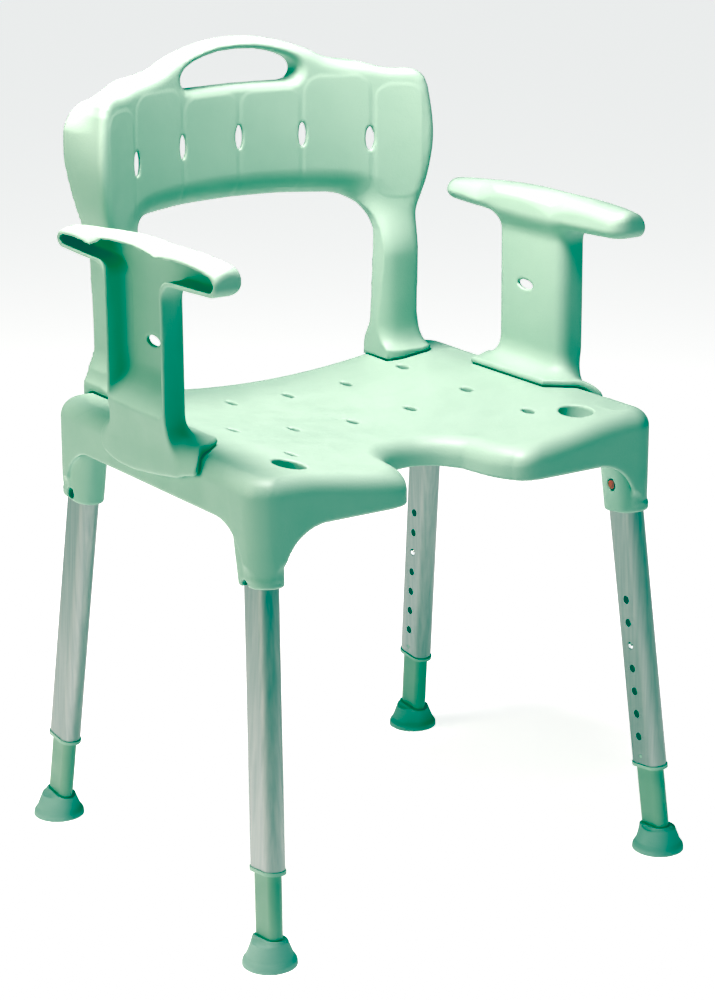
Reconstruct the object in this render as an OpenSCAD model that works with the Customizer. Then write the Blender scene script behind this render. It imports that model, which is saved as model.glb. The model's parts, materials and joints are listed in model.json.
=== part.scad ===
// Shower stool with armrests and backrest on four height-adjustable legs.
// Millimetres. +Z is up, +X is the viewer's right seen from the front, the
// front faces -Y. The floor is z = 0 and the origin is midway between the feet.

/* [Stance] */
// Height of the leg sockets' lower ends above the floor
socket_h = 370.5; // [330:0.5:420]
// Outward splay of a front foot from its socket
splay_front_x = 21.5; // [10:0.1:30]
// Forward splay of a front foot from its socket
splay_front_y = 42.2; // [20:0.1:55]
// Outward splay of a rear foot from its socket
splay_rear_x = 16.8; // [8:0.1:26]
// Backward splay of a rear foot from its socket
splay_rear_y = 46.4; // [20:0.1:58]

/* [Seat] */
// Width of the seat
seat_w = 488; // [400:1:600]
// Depth of the seat from front edge to rear edge
seat_d = 403; // [335:1:500]
// Height of the rim above the lower ends of the leg sockets
seat_rise = 108.5; // [90:0.5:130]
// Depth of the dish at the middle of the seat, below the rim
dish_depth = 20.5; // [10:0.5:26]
// Width of the flat rim on each side of the dish
rim_w = 65; // [40:1:80]
// Height of the skirt below the rim
skirt_h = 49; // [42:1:62]
// Wall thickness of the seat moulding
seat_wall = 3.6; // [3:0.1:4.5]
// Radius of the seat's corners in plan
seat_corner = 31; // [28:1:40]
// Radius of the seat's top edge
seat_edge = 14; // [9:0.5:14]
// Width of the front cut-out
notch_w = 104; // [80:1:130]
// Depth of the front cut-out
notch_d = 108; // [85:1:135]
// Length of a drain slot
slot_l = 18; // [14:0.5:22]
// Width of a drain slot
slot_w = 6.4; // [4.5:0.1:8]
// Sideways spacing of the drain slots
slot_pitch = 72.8; // [60:0.1:80]
// Length of a hand hold
hand_l = 42; // [34:1:52]
// Width of a hand hold
hand_w = 29; // [22:1:34]

/* [Leg sockets] */
// Plastic around the wide faces of a leg tube in its socket
collar_side = 5.8; // [4.5:0.1:7.5]
// Plastic around the narrow faces of a leg tube in its socket
collar_end = 4.3; // [3.5:0.1:5]
// Depth that a leg tube goes into its socket
socket_depth = 72.7; // [58:0.1:80]

/* [Leg tubes] */
// Width of the oval aluminium tube
tube_w = 22.8; // [19:0.1:28]
// Depth of the oval aluminium tube
tube_d = 42.6; // [35:0.1:51.2]
// Wall of the aluminium tube
tube_wall = 1.8; // [1.2:0.1:2.2]
// Length of the aluminium tube
tube_l = 350; // [320:1:360]
// Number of height holes
hole_count = 7; // [5:1:7]
// Pitch of the height holes
hole_pitch = 25; // [20.8:0.1:25]
// Lowest height hole above the tube's end
hole_first = 31.4; // [30:0.1:36]
// Hole that the snap button is in, counted from 0 at the bottom
hole_used = 4; // [2:1:4]

/* [Inner legs] */
// Room all round between the inner leg and the tube's bore
leg_gap = 1.8; // [1.4:0.1:2.2]
// Wall of the inner leg
leg_wall = 2.6; // [2:0.1:3]
// Length of inner leg above its snap button
leg_above = 30; // [20:1:36]
// Length of the guide bush inside the tube
bush_in = 24; // [18:0.5:25]
// Height of the guide bush's lip below the tube
bush_lip = 3.5; // [2:0.1:5]

/* [Feet] */
// Radius of a foot's sole
foot_r = 26.5; // [24:0.1:32]
// Height of a foot's bell
foot_h = 24; // [18:0.5:28]
// Thickness of rubber under the inner leg
sole_t = 8; // [6:0.5:10]
// Rubber around the inner leg at the top of a foot
foot_wall = 2; // [1.5:0.1:3]

/* [Buttons] */
// Radius of a silver snap button
snap_r = 3.9; // [3.2:0.05:4.7]
// How far a snap button stands out of its tube
snap_proud = 0.8; // [0.4:0.1:1.5]
// Radius of a red lock button
lock_r = 4.9; // [4:0.05:5.9]
// How far a lock button stands out of its socket
lock_proud = 1; // [0.4:0.1:2]
// Height of a lock button above the socket's lower end, along the leg
lock_rise = 29.2; // [22:0.1:34]
// Thickness of a button's spring leaf
leaf_t = 0.6; // [0.4:0.05:0.8]

/* [Backrest] */
// Height of the handle's top above the rim
back_rise = 351; // [300:1:420]
// Height of the panel's shoulders above the rim
shoulder_rise = 318; // [270:1:330]
// Height of the panel's lower edge above the rim
gap_rise = 174; // [145:1:200]
// Half width of the panel at its widest
back_half = 208; // [190:1:212]
// Radius of the panel's curve round the sitter
back_curve = 320; // [280:1:380]
// Distance of the panel's middle behind the seat's rear edge
back_behind = 13.6; // [5:0.1:18]
// Thickness of the backrest's walls
back_wall = 4; // [3:0.1:5]
// Depth of the handle from front to back
handle_t = 25; // [20:0.5:30]
// Width of the handle's opening
handle_w = 150; // [120:1:170]
// Width of a backrest post
post_w = 47; // [40:0.5:52]
// Width and depth of the plugs that hold the backrest in the seat
plug_w = 36; // [30:0.5:38]
// Length of the plugs below the rim
plug_l = 60; // [45:1:70]

/* [Armrests] */
// Height of the armrest's top above the rim
arm_rise = 200; // [165:1:240]
// Length of the armrest's pad
arm_l = 307; // [255:1:320]
// Width of the armrest's pad
arm_w = 37; // [32:0.5:44]
// Thickness of the pad from top to underside
arm_t = 37; // [30:0.5:44]
// Width of the armrest's post, front to back
arm_post_l = 110; // [92:1:120]
// Depth of the armrest's post from inner face to open side
arm_post_t = 30; // [25:0.5:32]
// Wall thickness of the armrest
arm_wall = 4; // [3:0.1:5]
// Length of the tongue that holds the armrest in the seat
tongue_l = 40; // [32:1:46]

/* [Fits] */
// Clearance round pieces that slide in the seat's pockets
pocket_fit = 0.4; // [0.3:0.05:0.6]
// Clearance between the leg tube and its socket, and bush and tube
snug_fit = 0.1; // [0.05:0.01:0.15]
// Clearance between the inner leg and its guide bush
slide_fit = 0.3; // [0.2:0.05:0.4]
// Clearance round the buttons in their holes
button_fit = 0.1; // [0.05:0.01:0.2]

/* [Hidden] */
$fn = 64;

mint = [0.66, 0.84, 0.72];
green = [0.16, 0.60, 0.43];
far = 1000;

// Heights and edges of the seat
rim_z = socket_h + seat_rise;
skirt_z = rim_z - skirt_h;
dish_half = seat_w / 2 - rim_w;
dish_r = (dish_half * dish_half + dish_depth * dish_depth) / (2 * dish_depth);
dish_z = rim_z - dish_depth;
front_y = -seat_d / 2 - 3.5;
rear_y = seat_d / 2 - 3.5;
arch_r = 52;
arch_side = 22;
arch_end = 30;

// Sections of the legs, each a round-ended oval
bore_w = tube_w - 2 * tube_wall;
bore_d = tube_d - 2 * tube_wall;
leg_w = bore_w - 2 * leg_gap;
leg_d = bore_d - 2 * leg_gap;
collar_w = tube_w + 2 * collar_side;
collar_d = tube_d + 2 * collar_end;

// Sockets and feet on the right: index 0 is the front leg, 1 is the rear leg
socket_x = [seat_w / 2 - collar_w / 2 - 3.3, seat_w / 2 - collar_w / 2 - 5.8];
socket_y = [front_y + collar_d / 2 + 0.9, rear_y - collar_d / 2 + 1.9];
splay_x = [splay_front_x, splay_rear_x];
splay_y = [-splay_front_y, splay_rear_y];

function foot_x(rear) = socket_x[rear] + splay_x[rear];
function foot_y(rear) = socket_y[rear] + splay_y[rear];
function axis_l(rear) = norm([splay_x[rear], splay_y[rear], socket_h]);
function tilt_x(rear) = asin(splay_y[rear] / axis_l(rear));
function tilt_y(rear) = -atan(splay_x[rear] / socket_h);

// Stations along a leg's axis, from the middle of its sole
function tube_top(rear) = axis_l(rear) + socket_depth;
function tube_end(rear) = tube_top(rear) - tube_l;
function hole_at(rear, n) = tube_end(rear) + hole_first + n * hole_pitch;
function snap_at(rear) = hole_at(rear, hole_used);
function lock_at(rear) = axis_l(rear) + lock_rise;
pip_rise = 9.3;
pip_r = 2;

// Backrest and armrest places
post_x = seat_w / 2 - 77.5;
plug_y = rear_y - plug_w / 2 - 6;
post_y = rear_y - 26;
post_back = rear_y + 4;
back_y = rear_y + back_behind;
handle_top = rim_z + back_rise;
shoulder_z = rim_z + shoulder_rise;
gap_z = rim_z + gap_rise;
window_half = post_x - post_w / 2;
rim_plane = seat_w / 2 + 13;
arm_top = rim_z + arm_rise;
arm_under = arm_top - arm_t;
arm_mid = -3.7;
arm_post_mid = -2;
tongue_x = seat_w / 2 - 15;
tongue_w = 12;
tongue_d = 64;
rest_gap = 0.3;

// Places children at a corner, with z along the leg's axis and +x outwards
module corner(side, rear) {
  if (side < 0) mirror([1, 0, 0]) leg_frame(rear) children();
  else leg_frame(rear) children();
}

module leg_frame(rear) {
  translate([foot_x(rear), foot_y(rear), 0])
    rotate([tilt_x(rear), tilt_y(rear), 0]) children();
}

// Copies children on both sides
module both_sides() {
  children();
  mirror([1, 0, 0]) children();
}

// Round-ended oval, long way along y
module oval(w, d) {
  straight = d - w;
  square([w, straight], center = true);
  translate([0, straight / 2]) circle(d = w);
  translate([0, -straight / 2]) circle(d = w);
}

module oval_bar(w, d, h) {
  linear_extrude(h) oval(w, d);
}

// Rectangle with round corners, from its lower left corner
module round_rect(w, h, r) {
  translate([r, 0]) square([w - 2 * r, h]);
  translate([0, r]) square([w, h - 2 * r]);
  for (x = [r, w - r], y = [r, h - r]) translate([x, y]) circle(r);
}

// Section of a slab whose top edges are round, centred on x
module slab_section(w, h, edge) {
  translate([-w / 2 + edge, 0]) square([w - 2 * edge, h]);
  translate([-w / 2, 0]) square([w, h - edge]);
  for (s = [-1, 1]) translate([s * (w / 2 - edge), h - edge]) circle(edge);
}

// Slab with round corners in plan and a round top edge
module slab(w, d, h, corner_r, edge) {
  rotate([90, 0, 90]) linear_extrude(w - 2 * corner_r, center = true)
    slab_section(d, h, edge);
  rotate([90, 0, 0]) linear_extrude(d - 2 * corner_r, center = true)
    slab_section(w, h, edge);
  for (sx = [-1, 1], sy = [-1, 1])
    translate([sx * (w / 2 - corner_r), sy * (d / 2 - corner_r), 0])
      rotate_extrude() intersection() {
        slab_section(2 * corner_r, h, edge);
        square([corner_r, h]);
      }
}

// The seat's outer form, grown all round
module seat_form(grow) {
  translate([0, (front_y + rear_y) / 2, socket_h])
    slab(seat_w + 2 * grow, seat_d + 2 * grow, seat_rise + grow,
         seat_corner + grow, seat_edge + grow);
}

// Long cylinder that forms the dish, grown outwards
module dish(grow) {
  translate([0, 0, dish_z + dish_r]) rotate([90, 0, 0])
    cylinder(r = dish_r + grow, h = far, center = true, $fn = 360);
}

// Plan of the front cut-out, grown all round
module notch_plan(grow) {
  half = notch_w / 2;
  lip = 20;
  y_round = front_y + notch_d - half;
  translate([0, y_round]) circle(half + grow);
  translate([-half - grow, front_y - far]) square([notch_w + 2 * grow, far + y_round - front_y]);
  for (s = [-1, 1]) difference() {
    translate([s * (half + lip / 2), front_y + lip / 2 - 5]) square([lip, lip + 10], center = true);
    translate([s * (half + lip), front_y + lip]) circle(lip - grow);
    translate([s * (half + lip), front_y + lip + 5]) square([2 * (lip - grow), 10], center = true);
  }
}

// Openings under the skirt, which leave an arch beside each socket
module skirt_arches() {
  low = -far / 2;
  half = seat_w / 2 - arch_side;
  deep = seat_d - 2 * arch_end;
  rotate([90, 0, 0]) linear_extrude(far, center = true)
    translate([-half, low]) round_rect(2 * half, skirt_z - low, arch_r);
  rotate([90, 0, 90]) linear_extrude(far, center = true)
    translate([front_y + arch_end, low]) round_rect(deep, skirt_z - low, arch_r);
}

// Sleeve under the seat that takes a plug, from its lower end to the rim
module pocket(x, y, w, d, depth, grow) {
  translate([x - w / 2 - grow, y - d / 2 - grow, rim_z - depth])
    cube([w + 2 * grow, d + 2 * grow, depth]);
}

module pockets(grow, extra) {
  pocket(post_x, plug_y, plug_w, plug_w, plug_l + extra, grow);
  pocket(tongue_x, 0, tongue_w, tongue_d, tongue_l + extra, grow);
}

module seat_slots() {
  mid_y = (front_y + rear_y) / 2;
  row_y = [mid_y - 107, mid_y, mid_y + 123];
  for (n = [-2:2], row = [0:2])
    if (row > 0 || abs(n) == 2)
      translate([n * slot_pitch, row_y[row] - (row == 2 ? 3 * abs(n) : 0), dish_z - 20])
        oval_bar(slot_w, slot_l, 60);
  both_sides() translate([seat_w / 2 - 69.3, front_y + 52.6, dish_z - 20])
    oval_bar(hand_w, hand_l, 60);
}

// Holes that open towards the middle of the seat, in leg coordinates
module side_hole(station, r, from, to) {
  translate([-to, 0, station]) rotate([0, 90, 0]) cylinder(r = r, h = to - from);
}

module seat_shell() {
  $fn = 56;
  color(mint) difference() {
    union() {
      difference() {
        seat_form(0);
        difference() {
          seat_form(-seat_wall);
          dish(seat_wall);
          linear_extrude(far) notch_plan(seat_wall);
        }
        skirt_arches();
      }
      intersection() {
        seat_form(0);
        both_sides() pockets(pocket_fit + 3, -2);
      }
      for (side = [-1, 1], rear = [0, 1]) corner(side, rear)
        translate([0, 0, axis_l(rear)])
          oval_bar(collar_w, collar_d, seat_rise - seat_wall - 1);
    }
    dish(0);
    linear_extrude(far) notch_plan(0);
    seat_slots();
    both_sides() pockets(pocket_fit, 5);
    for (side = [-1, 1], rear = [0, 1]) corner(side, rear) {
      translate([0, 0, axis_l(rear) - 20])
        oval_bar(tube_w + 2 * snug_fit, tube_d + 2 * snug_fit, socket_depth + 20 + snug_fit);
      side_hole(lock_at(rear), lock_r + button_fit, 0, collar_w);
    }
  }
}

// Aluminium leg tube with its row of height holes
module tube(side, rear) {
  color([0.62, 0.66, 0.70]) corner(side, rear) difference() {
    translate([0, 0, tube_end(rear)]) oval_bar(tube_w, tube_d, tube_l);
    translate([0, 0, tube_end(rear) - 1]) oval_bar(bore_w, bore_d, tube_l + 2);
    for (n = [0:hole_count - 1])
      side_hole(hole_at(rear, n), snap_r + button_fit, 0, tube_w);
    side_hole(tube_end(rear) + pip_rise, pip_r + button_fit, 0, tube_w);
    side_hole(lock_at(rear), lock_r + button_fit, 0, tube_w);
  }
}

// Plastic guide bush in the tube's lower end, held by a pip in a small hole
module bush(side, rear) {
  color(mint) corner(side, rear) difference() {
    union() {
      translate([0, 0, tube_end(rear) - bush_lip]) oval_bar(tube_w + 2, tube_d + 2, bush_lip);
      translate([0, 0, tube_end(rear) - bush_lip])
        oval_bar(bore_w - 2 * snug_fit, bore_d - 2 * snug_fit, bush_in + bush_lip);
      side_hole(tube_end(rear) + pip_rise, pip_r, leg_w / 2 + 1, tube_w / 2);
    }
    translate([0, 0, tube_end(rear) - bush_lip - 1])
      oval_bar(leg_w + 2 * slide_fit, leg_d + 2 * slide_fit, bush_in + bush_lip + 2);
  }
}

// Plastic inner leg that slides in the tube and carries the foot
module leg(side, rear) {
  length = snap_at(rear) + leg_above - sole_t;
  color(green) corner(side, rear) translate([0, 0, sole_t]) difference() {
    oval_bar(leg_w, leg_d, length);
    translate([0, 0, leg_wall])
      oval_bar(leg_w - 2 * leg_wall, leg_d - 2 * leg_wall, length);
    side_hole(snap_at(rear) - sole_t, snap_r + button_fit, 0, leg_w);
  }
}

// Rubber foot: a bell with a flat sole and an oval cup for the leg
module foot(side, rear) {
  cup = leg_w + 2 * foot_wall;
  color(green) difference() {
    union() {
      mirror([side < 0 ? 1 : 0, 0, 0]) translate([foot_x(rear), foot_y(rear), 0])
        rotate_extrude() polygon([[0, 0], [foot_r - 0.5, 0], [foot_r, 2.5],
          [foot_r - 0.8, 6], [foot_r - 4.2, 9], [foot_r - 5.8, 0.6 * foot_h],
          [foot_r - 8, foot_h], [0, foot_h]]);
      corner(side, rear) translate([0, 0, sole_t / 2 + 2])
        oval_bar(cup, leg_d + 2 * foot_wall, foot_h + 8 - sole_t / 2);
    }
    corner(side, rear) translate([0, 0, sole_t - snug_fit])
      oval_bar(leg_w + 2 * snug_fit, leg_d + 2 * snug_fit, far / 10);
  }
}

// Button that points towards the middle of the seat: a shank with a domed tip
// and a flange behind the wall it comes through
module button(station, r, wall_x, tip_x, flange_t) {
  dome = r * 0.3;
  translate([-wall_x + 0.1, 0, station]) rotate([0, -90, 0]) {
    cylinder(r = r + 1.2, h = flange_t - 0.1);
    cylinder(r = r, h = tip_x - wall_x - dome);
    translate([0, 0, tip_x - wall_x - dome]) cylinder(r1 = r, r2 = r * 0.6, h = dome);
  }
}

snap_wall = leg_w / 2 - leg_wall;
snap_flange = 1.1;
lock_wall = bore_w / 2;
lock_flange = 1.5;

module snap_button(side, rear) {
  color("silver") corner(side, rear) translate([snap_flange, 0, 0])
    button(snap_at(rear), snap_r, snap_wall, tube_w / 2 + snap_proud + snap_flange, snap_flange);
}

module lock_button(side, rear) {
  color([0.75, 0.12, 0.12]) corner(side, rear) translate([lock_flange, 0, 0])
    button(lock_at(rear), lock_r, lock_wall, collar_w / 2 + lock_proud + lock_flange, lock_flange);
}

// Leaf spring bent into a U between the two wide walls
module leaf_spring(station, wall_x, flange_t, width, reach) {
  near = wall_x - flange_t - 0.2;
  back = wall_x - 0.1;
  mid = (back - near) / 2;
  bend = (back + near) / 2;
  translate([0, width / 2, station]) rotate([90, 0, 0]) linear_extrude(width) {
    translate([-near, -reach]) square([leaf_t, reach + 6]);
    translate([back - leaf_t, -reach]) square([leaf_t, reach + 6]);
    translate([mid, -reach]) difference() {
      circle(bend);
      circle(bend - leaf_t);
      translate([-2 * bend, 0]) square([4 * bend, 2 * bend]);
    }
  }
}

module snap_spring(side, rear) {
  color("gray") corner(side, rear)
    leaf_spring(snap_at(rear), snap_wall, snap_flange, 8, 34);
}

module lock_spring(side, rear) {
  color("gray") corner(side, rear)
    leaf_spring(lock_at(rear), lock_wall, lock_flange, 12, 26);
}

// Outline of the panel in front view, shrunk all round
module panel_outline(inset) {
  half = back_half - 3 - inset;
  waist_z = gap_z - 53;
  widest_z = gap_z + 62;
  waist = post_x + post_w / 2 - inset;
  side = [[waist, waist_z], [waist + 8, gap_z], [half, gap_z + 19], [half + 3, widest_z],
    [half + 1, widest_z + 35]];
  arch_r = 228;
  arch_half = 115 - inset;
  translate([-half, widest_z - 40])
    round_rect(2 * half, shoulder_z - inset - widest_z + 40, 25 - inset);
  polygon(concat(side, [for (n = [len(side) - 1:-1:0]) [-side[n].x, side[n].y]]));
  intersection() {
    translate([0, handle_top - arch_r]) circle(arch_r - inset);
    translate([-arch_half, widest_z]) square([2 * arch_half, far]);
  }
}

// Opening below the panel, between the posts
module window_outline(grow) {
  translate([-window_half - grow, gap_z - far])
    round_rect(2 * (window_half + grow), far + grow, 22 + grow);
}

// Opening of the handle
module handle_outline(grow) {
  low = shoulder_z - 19;
  top = handle_top - 14;
  roof = 190;
  intersection() {
    translate([-handle_w / 2 - grow, low - grow])
      round_rect(handle_w + 2 * grow, top - low + 2 * grow, 15 + grow);
    translate([0, top - roof]) circle(roof + grow);
  }
}

// Stretches a front-view outline backwards from the axis of the panel's curve
module through() {
  translate([0, back_y - back_curve + far, 0]) rotate([90, 0, 0])
    linear_extrude(far) children();
}

// Cylinder round the sitter, r from the curve's axis
module back_arc(r) {
  translate([0, back_y - back_curve, gap_z - 100])
    cylinder(r = r, h = far / 2, $fn = 180);
}

// Space in front of the gently curved back edge of the panel
module back_limit() {
  limit_r = 960;
  translate([0, back_y + handle_t - limit_r, 0])
    cylinder(r = limit_r, h = far, $fn = 360);
}

// Free space above the dished seat, where the backrest's feet may reach
module above_seat() {
  dish(-rest_gap);
  translate([-far / 2, -far / 2, rim_z + rest_gap]) cube(far);
}

// D-shaped channel post with a wider foot, and the plug below it
module back_post() {
  r = post_w / 2;
  inner = r - back_wall;
  top = gap_z + 4;
  foot = 12;
  translate([post_x, 0, 0]) {
    intersection() {
      difference() {
        union() {
          translate([0, post_y, dish_z]) cylinder(r = r, h = top - dish_z);
          translate([-r, post_y, dish_z]) cube([post_w, post_back - post_y, top - dish_z]);
          translate([0, post_y - 2, dish_z]) cylinder(r1 = r + foot, r2 = r, h = 42);
        }
        translate([0, post_y, rim_z + 10]) cylinder(r = inner, h = far);
        translate([-inner, post_y, rim_z + 10]) cube([2 * inner, far, far]);
        translate([-far / 2, post_back, 0]) cube(far);
      }
      translate([-post_x, 0, 0]) above_seat();
    }
    translate([-plug_w / 2, plug_y - plug_w / 2, rim_z - plug_l]) difference() {
      cube([plug_w, plug_w, plug_l + 2]);
      translate([back_wall, back_wall, -1])
        cube([plug_w - 2 * back_wall, plug_w - 2 * back_wall, plug_l - 4]);
    }
  }
}

module backrest() {
  slot_z = gap_z + 70;
  color(mint) {
    difference() {
      intersection() {
        through() difference() {
          panel_outline(0);
          window_outline(0);
          handle_outline(0);
        }
        back_limit();
        union() {
          back_arc(back_curve + back_wall);
          through() {
            difference() {
              panel_outline(0);
              panel_outline(back_wall);
            }
            window_outline(back_wall);
            handle_outline(back_wall);
          }
        }
      }
      back_arc(back_curve);
      for (n = [-2:2]) translate([n * slot_pitch, 0, slot_z - 1.2 * n * n])
        rotate([90, 0, 0]) linear_extrude(far, center = true) oval(8.5, 24);
    }
    both_sides() back_post();
  }
}

// Side view of an armrest's pad and post, shrunk all round
module arm_side(inset) {
  blend = 18;
  post_half = arm_post_l / 2 - inset;
  translate([arm_mid - arm_l / 2 + inset, arm_under + inset])
    round_rect(arm_l - 2 * inset, arm_t - 2 * inset, 15 - inset);
  translate([arm_post_mid, 0]) {
    translate([-post_half, rim_z]) square([2 * post_half, arm_under - rim_z + 10]);
    for (s = [-1, 1]) difference() {
      translate([s * (post_half + blend / 2), arm_under + inset - blend / 2])
        square([blend, blend], center = true);
      translate([s * (post_half + blend), arm_under + inset - blend]) circle(blend);
    }
  }
}

// Stretches a side view along x, between two distances from the middle
module sideways(from, to) {
  translate([from, 0, 0]) rotate([90, 0, 90]) linear_extrude(to - from) children();
}

// Foot of the armrest: a plate on the rim and a flap down the skirt
module arm_base() {
  inner = seat_w / 2 - 44;
  outer = seat_w / 2 + 8;
  flap_z = skirt_z + 14;
  plate_t = 7;
  post_half = arm_post_l / 2;
  difference() {
    intersection() {
      linear_extrude(far) polygon([[inner, -65], [inner + 35, -90], [outer, -107],
        [outer, 84], [inner + 32, 68], [inner, 64]]);
      sideways(inner, outer)
        polygon([[-110, rim_z + plate_t], [-110, flap_z + 18], [-96, flap_z + 12], [20, flap_z],
          [60, flap_z + 2], [79, flap_z + 12], [85, flap_z + 26], [85, rim_z + plate_t]]);
    }
    seat_form(rest_gap + 0.1);
  }
  cove = 15;
  wall_x = rim_plane - arm_post_t;
  difference() {
    translate([wall_x - cove, arm_post_mid - post_half, rim_z + plate_t])
      cube([cove + 1, arm_post_l, cove]);
    translate([wall_x - cove, 0, rim_z + plate_t + cove]) rotate([90, 0, 0])
      cylinder(r = cove, h = far, center = true);
  }
  for (s = [-1, 1]) difference() {
    translate([wall_x, arm_post_mid + s * (post_half + cove / 2), rim_z + plate_t + cove / 2])
      translate([0, -cove / 2, -cove / 2]) cube([outer - wall_x, cove, cove]);
    translate([0, arm_post_mid + s * (post_half + cove), rim_z + plate_t + cove])
      rotate([0, 90, 0]) cylinder(r = cove, h = far);
  }
}

module armrest() {
  post_inner = rim_plane - arm_post_t;
  pad_inner = rim_plane - arm_w;
  shelf_z = rim_z + 41;
  hole_z = rim_z + 95;
  color(mint) difference() {
    union() {
      arm_base();
      sideways(post_inner, rim_plane) intersection() {
        arm_side(0);
        translate([-far / 2, rim_z + 5]) square([far, far]);
      }
      sideways(pad_inner, rim_plane) intersection() {
        arm_side(0);
        translate([-far / 2, arm_under]) square([far, far]);
      }
      translate([tongue_x - tongue_w / 2, -tongue_d / 2, rim_z - tongue_l])
        cube([tongue_w, tongue_d, tongue_l + 5]);
    }
    sideways(post_inner + arm_wall, far) intersection() {
      arm_side(arm_wall);
      translate([-far / 2, shelf_z]) square([far, far]);
    }
    sideways(pad_inner + arm_wall, far) intersection() {
      arm_side(arm_wall);
      translate([-far / 2, arm_under + arm_wall]) square([far, far]);
    }
    translate([seat_w / 2 + 8, -far / 2, 0]) cube([far, far, rim_z + 20]);
    sideways(0, far) translate([4, hole_z]) rotate(90) oval(11, 24);
  }
}

seat_shell();
backrest();
mirror([1, 0, 0]) armrest();  // armrest_left
armrest();  // armrest_right
tube(-1, 0);  // tube_front_left
tube(1, 0);  // tube_front_right
tube(-1, 1);  // tube_rear_left
tube(1, 1);  // tube_rear_right
bush(-1, 0);  // bush_front_left
bush(1, 0);  // bush_front_right
bush(-1, 1);  // bush_rear_left
bush(1, 1);  // bush_rear_right
leg(-1, 0);  // leg_front_left
leg(1, 0);  // leg_front_right
leg(-1, 1);  // leg_rear_left
leg(1, 1);  // leg_rear_right
foot(-1, 0);  // foot_front_left
foot(1, 0);  // foot_front_right
foot(-1, 1);  // foot_rear_left
foot(1, 1);  // foot_rear_right
snap_button(-1, 0);  // snap_button_front_left
snap_button(1, 0);  // snap_button_front_right
snap_button(-1, 1);  // snap_button_rear_left
snap_button(1, 1);  // snap_button_rear_right
snap_spring(-1, 0);  // snap_spring_front_left
snap_spring(1, 0);  // snap_spring_front_right
snap_spring(-1, 1);  // snap_spring_rear_left
snap_spring(1, 1);  // snap_spring_rear_right
lock_button(-1, 0);  // lock_button_front_left
lock_button(1, 0);  // lock_button_front_right
lock_button(-1, 1);  // lock_button_rear_left
lock_button(1, 1);  // lock_button_rear_right
lock_spring(-1, 0);  // lock_spring_front_left
lock_spring(1, 0);  // lock_spring_front_right
lock_spring(-1, 1);  // lock_spring_rear_left
lock_spring(1, 1);  // lock_spring_rear_right
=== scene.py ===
"""Shower stool: moulded seat, backrest and armrests on aluminium legs.

The moulded pieces are meshed from distance fields, in millimetres, and stand for their CAD nodes.
A field is negative inside the plastic and gives the distance to its surface outside it.
"""

import json
import math

import bpy
import numpy as np
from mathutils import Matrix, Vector


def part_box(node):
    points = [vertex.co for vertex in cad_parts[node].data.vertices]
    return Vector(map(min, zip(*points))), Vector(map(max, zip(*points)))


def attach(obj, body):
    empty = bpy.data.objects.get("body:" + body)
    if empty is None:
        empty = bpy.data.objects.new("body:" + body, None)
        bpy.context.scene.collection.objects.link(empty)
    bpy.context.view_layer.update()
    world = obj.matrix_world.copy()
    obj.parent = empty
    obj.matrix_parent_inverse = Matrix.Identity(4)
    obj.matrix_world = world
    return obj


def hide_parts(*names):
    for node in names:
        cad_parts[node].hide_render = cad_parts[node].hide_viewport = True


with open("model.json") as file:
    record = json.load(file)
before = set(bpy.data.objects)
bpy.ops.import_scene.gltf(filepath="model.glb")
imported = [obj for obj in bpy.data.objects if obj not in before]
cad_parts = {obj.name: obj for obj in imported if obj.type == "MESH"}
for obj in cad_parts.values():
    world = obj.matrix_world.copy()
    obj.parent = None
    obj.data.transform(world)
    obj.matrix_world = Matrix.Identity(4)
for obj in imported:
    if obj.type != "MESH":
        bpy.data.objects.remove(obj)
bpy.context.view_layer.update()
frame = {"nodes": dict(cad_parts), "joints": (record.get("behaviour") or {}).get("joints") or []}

MM = 0.001
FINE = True


def cad_box(node):
    """Lowest and highest corners of a CAD node, in millimetres."""
    low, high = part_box(node)
    return np.array(low) / MM, np.array(high) / MM


# ---------------------------------------------------------------- places, mm, from the frame
SEAT_LOW, SEAT_HIGH = cad_box("seat_shell")
BACK_LOW, BACK_HIGH = cad_box("backrest")
ARM_LOW, ARM_HIGH = cad_box("armrest_right")
RIM = SEAT_HIGH[2]
SEAT_HALF = SEAT_HIGH[0]
FRONT = SEAT_LOW[1]
SEAT_DEPTH = 403.0
REAR = FRONT + SEAT_DEPTH
MID_Y = (FRONT + REAR) / 2
HANDLE_TOP = BACK_HIGH[2]
SKIRT = RIM - 49.0
DISH_DEPTH = 20.5
DISH_R = 779.0
SEAT_WALL = 4.6
GAP = 1.5
CORNERS = ("front_left", "front_right", "rear_left", "rear_right")
SOLE_R = 26.5
TUBE_W, TUBE_D = 22.8, 42.6
LEG_W, LEG_D = 15.6, 35.4
COLLAR_W, COLLAR_D = 34.4, 51.2
SOCKET_Z = 370.5
SOCKET_DEPTH = 72.7
LOCK_RISE = 29.2
PLUG_X = SEAT_HALF - 77.5
PLUG_Y = REAR - 24
PLUG_HALF = 18
TONGUE_X = SEAT_HALF - 15
TONGUE_HALF_W, TONGUE_HALF_D = 6, 32
CLEARANCE = 0.4


# ---------------------------------------------------------------- field tools
def join(a, b, r):
    """Union of two solids with a fillet of about radius r."""
    k = 1.17 * r
    h = np.maximum(k - np.abs(a - b), 0.0)
    return np.minimum(a, b) - h * h * 0.25 / k


def both(a, b, r):
    """Intersection, its edge rounded to about radius r."""
    return -join(-a, -b, r)


def cut(a, b, r):
    """a without b, the new edge rounded to about radius r."""
    return -join(-a, b, r)


def box2(u, v, half_u, half_v, r):
    """Rectangle about the origin of (u, v), with round corners."""
    qu = np.abs(u) - half_u + r
    qv = np.abs(v) - half_v + r
    outer = np.hypot(np.maximum(qu, 0), np.maximum(qv, 0))
    return outer + np.minimum(np.maximum(qu, qv), 0) - r


def span(u, low, high):
    """Slab between two planes."""
    return np.maximum(low - u, u - high)


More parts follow.
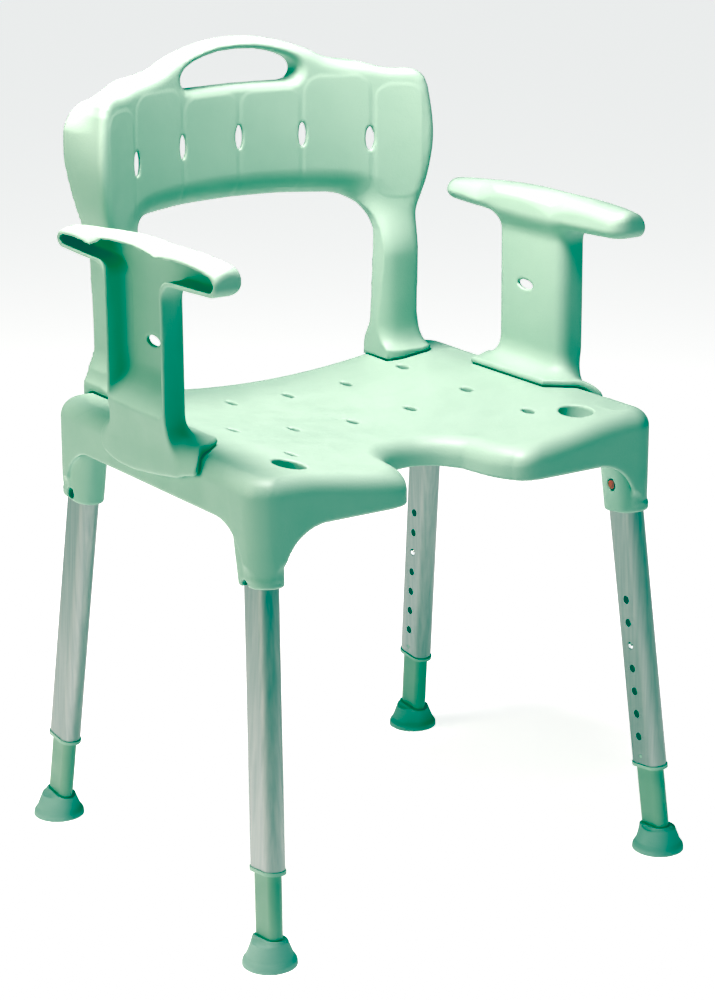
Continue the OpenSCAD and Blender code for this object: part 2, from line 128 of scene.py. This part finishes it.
def oval(u, v, width, length):
    """Round-ended oval, its long way along v."""
    straight = (length - width) / 2
    return np.hypot(u, np.maximum(np.abs(v) - straight, 0)) - width / 2


def ellipse(u, v, width, length):
    """Ellipse, its long way along v."""
    a, b = width / 2, length / 2
    near = np.hypot(u / a, v / b)
    return near * (near - 1) / np.maximum(np.hypot(u / (a * a), v / (b * b)), 1e-6)


def rolled(a, b, r):
    """Intersection whose edge is a true round of radius r."""
    a, b = a + r, b + r
    return np.hypot(np.maximum(a, 0), np.maximum(b, 0)) + np.minimum(np.maximum(a, b), 0) - r


def outline(u, v, points):
    """Closed polygon, from its corner points."""
    nearest = np.full(np.broadcast(u, v).shape, 1e12)
    inside = np.zeros(nearest.shape, bool)
    for (u0, v0), (u1, v1) in zip(points, points[1:] + points[:1]):
        du, dv = u1 - u0, v1 - v0
        t = np.clip(((u - u0) * du + (v - v0) * dv) / (du * du + dv * dv), 0, 1)
        nearest = np.minimum(nearest, (u - u0 - t * du) ** 2 + (v - v0 - t * dv) ** 2)
        if dv:
            inside ^= ((v0 > v) != (v1 > v)) & (u < u0 + (v - v0) * du / dv)
    return np.where(inside, -1, 1) * np.sqrt(nearest)


def spline(points, pieces):
    """Smooth line through the points (Catmull-Rom)."""
    ends = [points[0]] + list(points) + [points[-1]]
    line = []
    for a, b, c, d in zip(ends, ends[1:], ends[2:], ends[3:]):
        a, b, c, d = (np.array(p, float) for p in (a, b, c, d))
        for n in range(pieces):
            t = n / pieces
            p = 2 * b + (c - a) * t + (2 * a - 5 * b + 4 * c - d) * t**2 + (3 * b - a - 3 * c + d) * t**3
            line.append(tuple(p / 2))
    return line + [tuple(points[-1])]


def mirrored(half):
    """Closed outline from its right half, which runs from bottom to top."""
    return list(half) + [(-u, v) for u, v in reversed(half) if abs(u) > 0.01]


def ramp(t):
    """Smooth step from 0 to 1."""
    t = np.clip(t, 0, 1)
    return t * t * (3 - 2 * t)


# ---------------------------------------------------------------- field to mesh
CUBE = [(i, j, k) for i in (0, 1) for j in (0, 1) for k in (0, 1)]
EDGES = [
    (a, b)
    for a in CUBE
    for b in CUBE
    if sum(b) - sum(a) == 1 and sum(abs(p - q) for p, q in zip(a, b)) == 1
]


def net(field, low, high, step):
    """Points and quads of the field's surface in a box (surface nets)."""
    axes = [np.arange(a - step, b + 2 * step, step) for a, b in zip(low, high)]
    x, y, z = axes[0][:, None, None], axes[1][None, :, None], axes[2][None, None, :]
    size = tuple(len(a) for a in axes)
    value = np.broadcast_to(field(x, y, z), size).astype(np.float32)
    inside = value < 0
    cells = tuple(n - 1 for n in size)

    def corner(grid, c):
        return grid[c[0] : c[0] + cells[0], c[1] : c[1] + cells[1], c[2] : c[2] + cells[2]]

    count = sum(corner(inside, c).astype(np.int8) for c in CUBE)
    used = (count > 0) & (count < 8)
    index = np.full(cells, -1, np.int64)
    index[used] = np.arange(used.sum())
    place = np.argwhere(used).astype(float)
    total = np.zeros_like(place)
    crossings = np.zeros(len(place))
    for a, b in EDGES:
        va, vb = corner(value, a)[used], corner(value, b)[used]
        crosses = (va < 0) != (vb < 0)
        t = np.where(crosses, va / np.where(crosses, va - vb, 1), 0)
        point = np.array(a) + t[:, None] * (np.array(b) - np.array(a))
        total += point * crosses[:, None]
        crossings += crosses
    points = (place + total / crossings[:, None]) * step + np.array([a[0] for a in axes])
    quads = []
    for axis in range(3):
        u, v = (axis + 1) % 3, (axis + 2) % 3
        first = [slice(1, -1)] * 3
        first[axis] = slice(0, -1)
        second = list(first)
        second[axis] = slice(1, None)
        here, there = inside[tuple(first)], inside[tuple(second)]
        at = np.argwhere(here != there)
        at[:, u] += 1
        at[:, v] += 1
        out = here[here != there]
        ring = []
        for du, dv in ((0, 0), (-1, 0), (-1, -1), (0, -1)):
            c = at.copy()
            c[:, u] += du
            c[:, v] += dv
            ring.append(index[c[:, 0], c[:, 1], c[:, 2]])
        ring = np.stack(ring, 1)
        ring[~out] = ring[~out][:, ::-1]
        quads.append(ring)
    return points, np.concatenate(quads)


def settle(field, points, step):
    """Moves the points onto the surface along the field's slope."""
    reach = 0.2 * step
    here = field(*points.T)
    slope = np.empty_like(points)
    for axis in range(3):
        moved = points.copy()
        moved[:, axis] += reach
        slope[:, axis] = (field(*moved.T) - here) / reach
    length2 = np.maximum((slope**2).sum(1), 0.3)
    shift = slope * (here / length2)[:, None]
    size = np.linalg.norm(shift, axis=1)
    shift *= np.minimum(1, 0.5 * step / np.maximum(size, 1e-9))[:, None]
    return points - shift


def relax(points, quads):
    """Moves each point half way to the middle of its neighbours."""
    a = quads.ravel()
    b = np.roll(quads, -1, axis=1).ravel()
    count = np.bincount(a, minlength=len(points)) + np.bincount(b, minlength=len(points))
    middle = np.stack(
        [
            np.bincount(a, points[b, k], len(points)) + np.bincount(b, points[a, k], len(points))
            for k in range(3)
        ],
        1,
    )
    return 0.5 * points + 0.5 * middle / np.maximum(count, 1)[:, None]


def moulding(name, field, low, high, step, body, nodes, material, flip=False):
    """A piece meshed from its field, which rides on a body and replaces CAD nodes."""
    if not FINE:
        step *= 1.6
    points, quads = net(field, low, high, step)
    for _ in range(3 if FINE else 1):
        points = settle(field, relax(points, quads), step)
    points = settle(field, points, step)
    if flip:
        points = points * np.array([-1, 1, 1])
        quads = quads[:, ::-1]
    mesh = bpy.data.meshes.new(name)
    mesh.vertices.add(len(points))
    mesh.vertices.foreach_set("co", (points * MM).astype(np.float32).ravel())
    mesh.loops.add(quads.size)
    mesh.loops.foreach_set("vertex_index", quads.astype(np.int32).ravel())
    mesh.polygons.add(len(quads))
    mesh.polygons.foreach_set("loop_start", np.arange(0, quads.size, 4, dtype=np.int32))
    mesh.update(calc_edges=True)
    mesh.validate()
    mesh.polygons.foreach_set("use_smooth", np.ones(len(mesh.polygons), bool))
    piece = bpy.data.objects.new(name, mesh)
    bpy.context.scene.collection.objects.link(piece)
    mesh.materials.append(material)
    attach(piece, body)
    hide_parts(*nodes)


# ---------------------------------------------------------------- legs' own axes
def leg_axes(name):
    """Sole centre and unit axes of a leg: x away from the middle, z up the leg."""
    low, high = cad_box("foot_" + name)
    on_right = high[0] + low[0] > 0
    rear = high[1] + low[1] > 0
    sole = np.array(
        [
            (high[0] - SOLE_R) if on_right else (low[0] + SOLE_R),
            (high[1] - SOLE_R) if rear else (low[1] + SOLE_R),
            0.0,
        ]
    )
    joint = next(j for j in frame["joints"] if j["name"] == f"leg_{name}_height")
    up = np.array(joint["axis"], float)
    press = next(j for j in frame["joints"] if j["name"] == f"lock_button_{name}_press")
    out = np.array(press["axis"], float)
    return sole, out, np.cross(up, out), up


LEGS = {name: leg_axes(name) for name in CORNERS}
# distances along each leg: the socket's open end and the lock button
SOCKET = {name: SOCKET_Z / LEGS[name][3][2] for name in LEGS}
LOCK = {name: SOCKET[name] + LOCK_RISE for name in LEGS}


def local(name, x, y, z):
    """Coordinates along a leg's own axes."""
    sole, out, across, up = LEGS[name]
    dx, dy, dz = x - sole[0], y - sole[1], z - sole[2]
    return tuple(dx * a[0] + dy * a[1] + dz * a[2] for a in (out, across, up))


# ---------------------------------------------------------------- seat
def seat_top(x, y):
    """Height of the dished top."""
    across = np.abs(x)
    dish = RIM - DISH_DEPTH + across**2 / (2 * DISH_R)
    shallower = 1 - np.minimum(across / 179, 1) ** 2
    dish = dish + 4.5 * np.clip(y / REAR, 0, 1) ** 2 * shallower
    return join(dish, RIM, 6)


def notch(x, y):
    """Plan of the front cut-out: a round end that widens to the front edge."""
    across = np.abs(x)
    end_r = 45
    end_y = FRONT + 107 - end_r
    round_end = np.hypot(x, y - end_y) - end_r
    sides = [
        (-20, end_y + 6),
        (end_r - 3.0, end_y + 6),
        (end_r + 10.0, end_y - 30),
        (end_r + 17.0, FRONT + 14),
        (end_r + 22.0, FRONT - 60),
        (-20, FRONT - 60),
    ]
    return join(round_end, outline(across, y, sides), 14)


def seat_plan(x, y):
    """Plan of the seat: a rectangle with round corners, less the cut-out."""
    return cut(box2(x, y - MID_Y, SEAT_HALF, (REAR - FRONT) / 2, 30), notch(x, y), 24)


def seat_body(x, y, z, grow=0.0, edge=19.0):
    """The seat as a solid block with a rolled top edge."""
    plan = seat_plan(x, y) - grow
    top = z - seat_top(x, y) - grow
    return rolled(plan, top, edge)


def seat_slots(x, y):
    """Plan of the drain slots and the two hand holds."""
    across = np.abs(x)
    holes = ellipse(across - (SEAT_HALF - 69.3), y - (FRONT + 52.6), 29, 43)
    pitch = 72.8
    front, middle, rear = -107, 0, 123
    for row, columns in ((front, (2,)), (middle, (0, 1, 2)), (rear, (0, 1, 2))):
        for n in columns:
            bend = 3 * n if row == rear else 0
            holes = np.minimum(holes, ellipse(across - n * pitch, y - (MID_Y + row - bend), 8, 20))
    return holes


def skirt_arches(x, y, z):
    """Space under the skirt between the sockets, with round shoulders."""
    shoulder = 50
    drop = 150
    low = SKIRT - drop
    front_view = box2(x, z - low, SEAT_HALF - 30, drop, shoulder)
    side_view = box2(y - MID_Y, z - low - 1, (REAR - FRONT) / 2 - 27, drop, shoulder)
    inner = 8
    across = box2(x, y - MID_Y, SEAT_HALF - inner, (REAR - FRONT) / 2 - inner, 24)
    walls = np.minimum(front_view, side_view)
    return np.minimum(walls, np.maximum(across, z - SKIRT + 2))


def seat_field(x, y, z):
    """The seat: a shell with slots, sleeved pockets and a collar round each leg tube."""
    solid = seat_body(x, y, z)
    inner = seat_body(x, y, z, -SEAT_WALL, 15.0)
    shell = np.maximum(solid, -inner)
    shell = cut(shell, skirt_arches(x, y, z), 1.2)
    slots = seat_slots(x, y)
    below = seat_top(x, y) - z
    shell = join(shell, np.maximum(slots - 3.2, span(below, 1.0, 15.0)), 1.5)
    band = 8
    for name, (sole, *_) in LEGS.items():
        u, v, w = local(name, x, y, z)
        here = (x * sole[0] > 0) & ((y - MID_Y) * sole[1] > 0)
        rise = np.maximum(w - SOCKET[name], 0)
        round_tube = oval(u, v, COLLAR_W, COLLAR_D)
        # the skirt narrows down to the collar and stops where its plain band begins
        narrowing = 0.02 * np.maximum(rise - band, 0) ** 2
        skin = np.maximum(round_tube - narrowing, SOCKET[name] + band - w)
        shell = np.where(here & (rise < 60), np.maximum(shell, skin), shell)
        # the collar's outer side widens upwards and stays inside the skirt above the band
        draft = 0.09 * rise * ramp((u + 4) / 14)
        collar = rolled(round_tube - draft, SOCKET[name] - w, 2.5)
        collar = np.maximum(collar, solid + 1.0 - 4.0 * ramp((12 - rise) / 8))
        shell = join(shell, collar, 2.5)
        tube = oval(u, v, TUBE_W + CLEARANCE, TUBE_D + CLEARANCE)
        shell = cut(shell, np.maximum(tube, w - SOCKET[name] - SOCKET_DEPTH), 1.0)
        button = np.maximum(np.hypot(v, w - LOCK[name]) - 5.9, u)
        shell = cut(shell, button, 0.6)
    plug_half = PLUG_HALF + CLEARANCE
    plug = box2(np.abs(x) - PLUG_X, y - PLUG_Y, plug_half, plug_half, 1)
    tongue = box2(np.abs(x) - TONGUE_X, y, TONGUE_HALF_W + CLEARANCE, TONGUE_HALF_D + CLEARANCE, 1)
    for pocket, depth in ((plug, 58), (tongue, 38)):
        sleeve = np.maximum(np.maximum(pocket - 3.4, RIM - depth - z), solid + 1)
        shell = join(shell, sleeve, 1.5)
        shell = cut(shell, np.maximum(pocket, RIM - depth - 5 - z), 0.5)
    return cut(shell, slots, 1.6)


# ---------------------------------------------------------------- backrest
BACK_R = 320.0
BACK_AXIS_Y = BACK_HIGH[1] - 25.0 - BACK_R
BACK_LIMIT_R = 960.0
POST_Y = REAR - 26.0
PANEL = mirrored(
    [(0, 430), (189, 430), (189.5, 540)]
    + spline(
        [(190.5, 590), (193, 632), (198, 653), (203, 673), (207, 700), (208, 722), (206.5, 745), (203, 771)],
        4,
    )
    + spline(
        [(200, 781), (193, 789), (181, 793.5), (155, 795), (126, 798.5)]
        + [(103, 804), (85, 813), (60, 821.5), (30, 828), (0, HANDLE_TOP)],
        4,
    )
)
WINDOW = mirrored(
    [(0, 300), (143, 300), (143, 476), (146, 544), (149, 600)]
    + spline([(149.5, 616), (147.5, 630), (141, 641), (131, 649), (115, 652.5)], 4)
    + [(60, 655), (0, 655.5)]
)
GRIP = mirrored(
    [(0, 780), (60, 779)]
    + spline([(68, 780.5), (73, 787), (73, 795), (67, 802.5), (55, 808.5)], 4)
    + [(40, 813), (22, 816.5), (0, 817.5)]
)


def panel_pads(x, z):
    """Faint raised pads between the slots: 1 on a pad, 0 on the creases."""
    pitch = 74.0
    across = np.abs(x)
    pads = np.minimum(
        np.minimum(
            box2(across - pitch * 0.5, z - 712, pitch / 2 - 2.5, 60, 14),
            box2(across - pitch * 1.5, z - 716, pitch / 2 - 2.5, 68, 18),
        ),
        box2(across - pitch * 2.33, z - 712, pitch / 3 - 3, 62, 16),
    )
    return ramp(-pads / 3.0 + 0.5)


def backrest_field(x, y, z):
    """The backrest: a hollow panel with a handle, on two channel posts with plugs."""
    radius = np.hypot(x, y - BACK_AXIS_Y)
    back = np.hypot(x, y - (BACK_HIGH[1] - BACK_LIMIT_R)) - BACK_LIMIT_R
    window = outline(x, z, WINDOW)
    grip = outline(x, z, GRIP)
    across = np.abs(x) - PLUG_X
    backward = ramp((y - 150) / 60)
    flare = 9 * backward * np.clip((z - 630) / 140, 0, 1) * ramp((across - 14) / 15) * ramp((797 - z) / 30)
    droop = 18 * backward * ramp((z - 750) / 40) * ramp((across + 26) / 50)
    panel = outline(x, z, PANEL) - flare + droop
    front = BACK_R - 0.5 * panel_pads(x, z) - radius

    # posts: D-shaped channels that bulge forwards below the panel, on wider feet
    fade = 60 * ramp((z - 585) / 120)
    post = box2(across, y - (POST_Y + 38) - fade, 23.5, 61.5, 22)
    foot = np.maximum(box2(across - 8, y - (POST_Y + 1), 33.5, 37, 24), z - (RIM + 3))
    post = join(post, foot, 26)
    post = np.maximum(np.maximum(post, z - 700), 0.5 - window)

    sheet = both(panel, front, 13)
    sheet = np.maximum(sheet, rolled(-window, front, 32))
    solid = join(sheet, post, 20)
    solid = np.maximum(solid, rolled(panel - 14 * ramp((RIM + 45 - z) / 42), back, 6))
    solid = np.maximum(solid, 0.3 - window)
    deeper = 46 * ramp((28.5 - across) / 50) * ramp((z - 640) / 20)
    shallower = (14 + 10 * ramp((z - RIM - 8) / 30)) * ramp((6 - across) / 25) * ramp((650 - z) / 40)
    solid = np.maximum(solid, y - (POST_Y + 29) - 11 * ramp((z - 650) / 110) - deeper + shallower)

    wall = 4.5
    hollow = np.maximum(sheet + wall, wall + 3 - grip)
    hollow = np.maximum(hollow, z - (HANDLE_TOP - 52))
    channel = box2(across, y - (POST_Y + 38) - fade, 19, 57, 18)
    channel = np.maximum(np.maximum(channel, 5 - window), span(z, RIM + 12, 640))
    solid = cut(solid, join(hollow, channel, 3), 1.3)

    lips = np.maximum(rolled(-grip, front, 9), rolled(-grip, back, 5))
    solid = np.maximum(solid, np.where(z > 740, lips, -50))
    for slot_x, drop in ((0, 0), (75, 2.5), (145.7, 9.8)):
        slot_z = HANDLE_TOP - 105.5 - drop
        solid = cut(solid, ellipse(np.abs(x) - slot_x, z - slot_z, 9, 26), 1.8)
    solid = np.maximum(solid, GAP - seat_body(x, y, z))

    along = y - PLUG_Y
    bore = PLUG_HALF - 4
    plug = np.maximum(box2(across, along, PLUG_HALF, PLUG_HALF, 1.5), span(z, RIM - 60, RIM + 4))
    plug = np.maximum(plug, -np.maximum(box2(across, along, bore, bore, 1), z - RIM + 6))
    return np.minimum(solid, plug)


# ---------------------------------------------------------------- armrest, on the right
ARM_RIM = ARM_HIGH[0]
ARM_TOP = ARM_HIGH[2]


def lobes(y):
    """0 at the notches between the pad's three swellings, 1 at their middles."""
    return np.abs(np.sin(math.pi * (y - 84) / 129))


def pad_top(x, y):
    """Height of the pad's top: crowned across, lower towards its ends and at the notches."""
    crown = ((x - 239) / 18) ** 2
    sides = 4.5 + 9.0 * (1 - lobes(y)) ** 1.5
    return ARM_TOP + 0.6 - 0.00036 * (y + 40) ** 2 - sides * crown


def armrest_solid(x, y, z, inset=0.0):
    """The armrest's pad and post as a solid that runs out past the open side."""
    pad_front, pad_rear = ARM_LOW[1], ARM_HIGH[1]
    mid = (pad_front + pad_rear) / 2
    outside = ARM_RIM + 25
    length = (pad_rear - pad_front) / 2
    plan = box2(x - outside, y - mid, outside - 219.5 - inset, length - inset, 20 - inset)
    plan = plan + 1.2 * (1 - lobes(y))
    under = 643.5 + 4.0 * (np.abs(y - mid) / 150) ** 2
    pad = np.maximum(rolled(plan, z - pad_top(x, y) + inset, 9), rolled(plan, under - z + inset, 11))
    lean = (z - 520) * 0.012
    post = box2(x - outside, y + 2 - lean, outside - 227 - inset, 56 - inset, 14 - inset)
    post = np.maximum(post, span(z, RIM - 10, 660))
    return join(pad, post, 16)


def armrest_base(x, y, z):
    """The foot: a skin that follows the seat's rim and side, with a flowing outline."""
    thick = 7.0
    saddle = seat_body(x, y, z, thick + GAP, 26.0)
    plan = outline(
        x,
        y,
        [(200, -63), (219, -80), (235, -91), (247, -104), (290, -112)]
        + [(290, 86), (232, 76), (214, 66), (200, 63)],
    )
    lower_edge = spline(
        [(-97, 463), (-75, 458), (-45, 451.5), (-17, 447), (12, 444)]
        + [(42, 444), (62, 447.5), (77, 455), (84, 468), (82, 480)],
        3,
    )
    side = outline(y, z, [(-112, 560), (-112, 476), (-104, 466)] + lower_edge + [(84, 560)])
    base = both(both(saddle, plan, 4), side, 4)
    return np.maximum(base, z - (RIM + thick + 1))


def armrest_field(x, y, z):
    """The armrest: open and hollow on its outer side, with a foot, a flap and a tongue."""
    solid = join(armrest_solid(x, y, z), armrest_base(x, y, z), 22)
    flap_x = SEAT_HALF + 8.5 + 5.0 * ramp((z - 470) / 55)
    solid = both(solid, x - np.minimum(flap_x, ARM_RIM), 2.2)
    shelf = 515 + (ARM_RIM - 5 - x) * 1.15
    hollow = armrest_solid(x, y, z, 4.0)
    hollow = both(np.maximum(hollow, 231 - x), shelf - z, 9)
    solid = cut(solid, hollow, 1.6)
    solid = cut(solid, ellipse(z - 574, y - 4, 10.5, 26), 1.0)
    solid = np.maximum(solid, -(seat_body(x, y, z) - GAP))
    tongue = box2(x - TONGUE_X, y, TONGUE_HALF_W, TONGUE_HALF_D, 1.5)
    return np.minimum(solid, np.maximum(tongue, span(z, RIM - 40, RIM + 4)))


# ---------------------------------------------------------------- feet
def foot_field(name):
    """Field of one rubber foot: a rimmed disc, a bell and a cup round the leg."""
    sole = LEGS[name][0]

    def field(x, y, z):
        u, v, w = local(name, x, y, z)
        r = np.hypot(x - sole[0], y - sole[1])
        disc_r = 23.6
        rim = np.hypot(r - disc_r, z - 4.0) - 2.8
        disc = np.maximum(r - disc_r, z - 6.8)
        bell = np.maximum(r - 27.4 + 0.40 * z, z - 24)
        scoop = np.hypot(np.hypot(x - sole[0] + 16, y - sole[1] + 40), z - 30) - 24
        bell = cut(bell, scoop, 4)
        cup = np.maximum(oval(u, v, LEG_W + 9, LEG_D + 7) + 0.10 * (w - 14), w - 27)
        shape = np.maximum(join(join(join(disc, rim, 1), bell, 3), cup, 5), -z)
        bore = np.maximum(oval(u, v, LEG_W + 0.3, LEG_D + 0.3), 8 - w)
        return cut(shape, bore, 1.0)

    return field


# ---------------------------------------------------------------- materials
def shader(name, color, roughness):
    """A material with a principled shader: itself, its tree, the shader and the coordinates."""
    material = bpy.data.materials.new(name)
    material.use_nodes = True
    tree = material.node_tree
    tree.nodes.clear()
    out = tree.nodes.new("ShaderNodeOutputMaterial")
    bsdf = tree.nodes.new("ShaderNodeBsdfPrincipled")
    tree.links.new(bsdf.outputs["BSDF"], out.inputs["Surface"])
    bsdf.inputs["Base Color"].default_value = (*color, 1)
    bsdf.inputs["Roughness"].default_value = roughness
    place = tree.nodes.new("ShaderNodeTexCoord").outputs["Object"]
    return material, tree, bsdf, place


def noise(tree, place, scale, detail, stretch=None):
    """Noise over the object's own coordinates, scale per metre."""
    if stretch:
        mapping = tree.nodes.new("ShaderNodeMapping")
        mapping.inputs["Scale"].default_value = stretch
        tree.links.new(place, mapping.inputs["Vector"])
        place = mapping.outputs["Vector"]
    node = tree.nodes.new("ShaderNodeTexNoise")
    node.inputs["Scale"].default_value = scale
    node.inputs["Detail"].default_value = detail
    tree.links.new(place, node.inputs["Vector"])
    return node.outputs["Fac"]


def spread(tree, value, low, high):
    """Stretches the noise's middle part over low to high."""
    node = tree.nodes.new("ShaderNodeMapRange")
    node.inputs["From Min"].default_value = 0.3
    node.inputs["From Max"].default_value = 0.7
    node.inputs["To Min"].default_value = low
    node.inputs["To Max"].default_value = high
    tree.links.new(value, node.inputs["Value"])
    return node.outputs["Result"]


def mixed(tree, factor, a, b):
    """Color between a and b."""
    node = tree.nodes.new("ShaderNodeMix")
    node.data_type = "RGBA"
    node.inputs["A"].default_value = (*a, 1)
    node.inputs["B"].default_value = (*b, 1)
    tree.links.new(factor, node.inputs["Factor"])
    return node.outputs["Result"]


def bumps(tree, bsdf, layers):
    """Stacked bump layers: (height, strength, depth in metres)."""
    normal = None
    for height, strength, depth in layers:
        bump = tree.nodes.new("ShaderNodeBump")
        bump.inputs["Strength"].default_value = strength
        bump.inputs["Distance"].default_value = depth
        tree.links.new(height, bump.inputs["Height"])
        if normal:
            tree.links.new(normal, bump.inputs["Normal"])
        normal = bump.outputs["Normal"]
    tree.links.new(normal, bsdf.inputs["Normal"])


def moulded_plastic(name, color, deeper, roughness, grain=1.0):
    """Matt moulded plastic: fine grain, faint clouding and slightly worn patches."""
    material, tree, bsdf, place = shader(name, color, roughness)
    clouds = noise(tree, place, 14, 4)
    wear = noise(tree, place, 45, 5)
    waves = noise(tree, place, 60, 2)
    speck = noise(tree, place, 380, 2)
    fine = noise(tree, place, 900, 3)
    tree.links.new(mixed(tree, spread(tree, clouds, 0, 1), color, deeper), bsdf.inputs["Base Color"])
    worn = spread(tree, wear, roughness - 0.07, roughness + 0.09)
    tree.links.new(worn, bsdf.inputs["Roughness"])
    layers = [(waves, 0.10, 0.0008), (speck, 0.22 * grain, 0.0005), (fine, 0.25 * grain, 0.0003)]
    bumps(tree, bsdf, layers)
    bsdf.inputs["Specular IOR Level"].default_value = 0.4
    return material


def drawn_aluminium(name):
    """Satin anodised tube with lines along its length."""
    material, tree, bsdf, place = shader(name, (0.35, 0.345, 0.335), 0.42)
    bsdf.inputs["Metallic"].default_value = 1.0
    lines = noise(tree, place, 260, 3, (1, 1, 0.012))
    cloud = noise(tree, place, 9, 3, (1, 1, 0.4))
    color = mixed(tree, spread(tree, lines, 0, 1), (0.33, 0.325, 0.32), (0.39, 0.38, 0.37))
    tree.links.new(color, bsdf.inputs["Base Color"])
    tree.links.new(spread(tree, cloud, 0.38, 0.48), bsdf.inputs["Roughness"])
    bumps(tree, bsdf, [(lines, 0.12, 0.0001)])
    return material


def polished_metal(name, color, roughness):
    """Bright metal with faint smears."""
    material, tree, bsdf, place = shader(name, color, roughness)
    bsdf.inputs["Metallic"].default_value = 1.0
    smears = spread(tree, noise(tree, place, 300, 3), roughness - 0.05, roughness + 0.1)
    tree.links.new(smears, bsdf.inputs["Roughness"])
    bumps(tree, bsdf, [(noise(tree, place, 700, 2), 0.1, 0.0002)])
    return material


MINT = moulded_plastic("mint_plastic", (0.395, 0.485, 0.405), (0.375, 0.465, 0.385), 0.48)
GREEN = moulded_plastic("green_plastic", (0.31, 0.375, 0.30), (0.285, 0.35, 0.275), 0.40, 0.6)
RUBBER = moulded_plastic("green_rubber", (0.36, 0.44, 0.39), (0.33, 0.41, 0.36), 0.62, 1.2)
ALUMINIUM = drawn_aluminium("aluminium")
STEEL = polished_metal("snap_steel", (0.72, 0.74, 0.75), 0.2)
SPRING = polished_metal("spring_steel", (0.45, 0.46, 0.48), 0.35)
RED = moulded_plastic("red_plastic", (0.42, 0.05, 0.06), (0.37, 0.045, 0.05), 0.35, 0.4)


# ---------------------------------------------------------------- build
low, high = (-SEAT_HALF - 1, FRONT - 2, 364), (SEAT_HALF + 1, REAR + 3, RIM + 1)
moulding("seat", seat_field, low, high, 2.0, "frame", ["seat_shell"], MINT)

low, high = (-215, 130, RIM - 61), (215, BACK_HIGH[1] + 1, HANDLE_TOP + 2)
moulding("back", backrest_field, low, high, 1.9, "backrest", ["backrest"], MINT)

low, high = (198, ARM_LOW[1] - 1, RIM - 41), (ARM_RIM + 1, ARM_HIGH[1] + 1, ARM_TOP + 2)
for side, flip in (("right", False), ("left", True)):
    node = "armrest_" + side
    moulding("arm_" + side, armrest_field, low, high, 1.6, node, [node], MINT, flip)

for name in LEGS:
    foot = "foot_" + name
    low, high = cad_box(foot)
    field = foot_field(name)
    moulding("rubber_" + foot, field, low - 1, high + 2, 0.9, "leg_" + name, [foot], RUBBER)

FINISHES = {
    "tube": ALUMINIUM,
    "bush": MINT,
    "leg": GREEN,
    "snap_button": STEEL,
    "snap_spring": SPRING,
    "lock_button": RED,
    "lock_spring": SPRING,
}
for kind, material in FINISHES.items():
    for name in LEGS:
        mesh = frame["nodes"][f"{kind}_{name}"].data
        mesh.materials.clear()
        mesh.materials.append(material)


# ---------------------------------------------------------------- stage
floor_material, _, floor_bsdf, _ = shader("pale_floor", (0.88, 0.89, 0.88), 0.9)
floor_bsdf.inputs["Emission Color"].default_value = (1, 1, 1, 1)
floor_bsdf.inputs["Emission Strength"].default_value = 0.555
FLOOR_HALF = 30.0
floor_mesh = bpy.data.meshes.new("floor")
floor_corners = [(x * FLOOR_HALF, y * FLOOR_HALF, 0) for x, y in ((-1, -1), (1, -1), (1, 1), (-1, 1))]
floor_mesh.from_pydata(floor_corners, [], [(0, 1, 2, 3)])
floor_mesh.materials.append(floor_material)
floor = bpy.data.objects.new("floor", floor_mesh)
bpy.context.scene.collection.objects.link(floor)


def softbox(name, place, target, size, power, color=(1, 1, 1)):
    """A rectangular area light aimed at a target, in metres and watts."""
    data = bpy.data.lights.new(name, "AREA")
    data.shape = "RECTANGLE"
    data.size, data.size_y = size
    data.energy = power
    data.color = color
    lamp = bpy.data.objects.new(name, data)
    bpy.context.scene.collection.objects.link(lamp)
    lamp.location = place
    aim = Vector(target) - Vector(place)
    lamp.rotation_euler = aim.to_track_quat("-Z", "Y").to_euler()


softbox("overhead", (-0.26, -0.04, 1.55), (-0.12, 0.0, 0.4), (0.8, 0.3), 19.5)
softbox("left_wall", (-2.6, 0.45, 1.15), (0, 0, 0.5), (1.2, 1.4), 17, (1.0, 0.97, 0.82))

world = bpy.data.worlds.new("studio")
bpy.context.scene.world = world
world.use_nodes = True
sky = world.node_tree.nodes["Background"]
sky.inputs["Color"].default_value = (0.92, 0.98, 1.0, 1)
sky.inputs["Strength"].default_value = 0.03

# levels: deep shades lose their red first and stay a dark green
grade = bpy.context.scene.view_settings
grade.view_transform = "Standard"
grade.use_curve_mapping = True
grade.curve_mapping.black_level = (0.175, 0.07, 0.10)
grade.curve_mapping.white_level = (0.67, 0.67, 0.67)
grade.curve_mapping.extend = "HORIZONTAL"
for channel, lift in ((1, 0.085), (2, 0.055)):
    curve = grade.curve_mapping.curves[channel]
    curve.points[0].location = (0.0, lift)
    curve.points.new(0.3, 0.3)
grade.curve_mapping.update()

CAMERA_DOWN, CAMERA_ROUND = 16.78, 34.26
camera_data = bpy.data.cameras.new("camera")
camera = bpy.data.objects.new("camera", camera_data)
bpy.context.scene.collection.objects.link(camera)
camera.location = (-1.555, -2.295, 1.209)
camera.rotation_euler = (math.radians(90 - CAMERA_DOWN), 0, math.radians(-CAMERA_ROUND))
camera_data.sensor_width = 36
camera_data.lens = 99.96
camera_data.clip_end = 100
bpy.context.scene.camera = camera
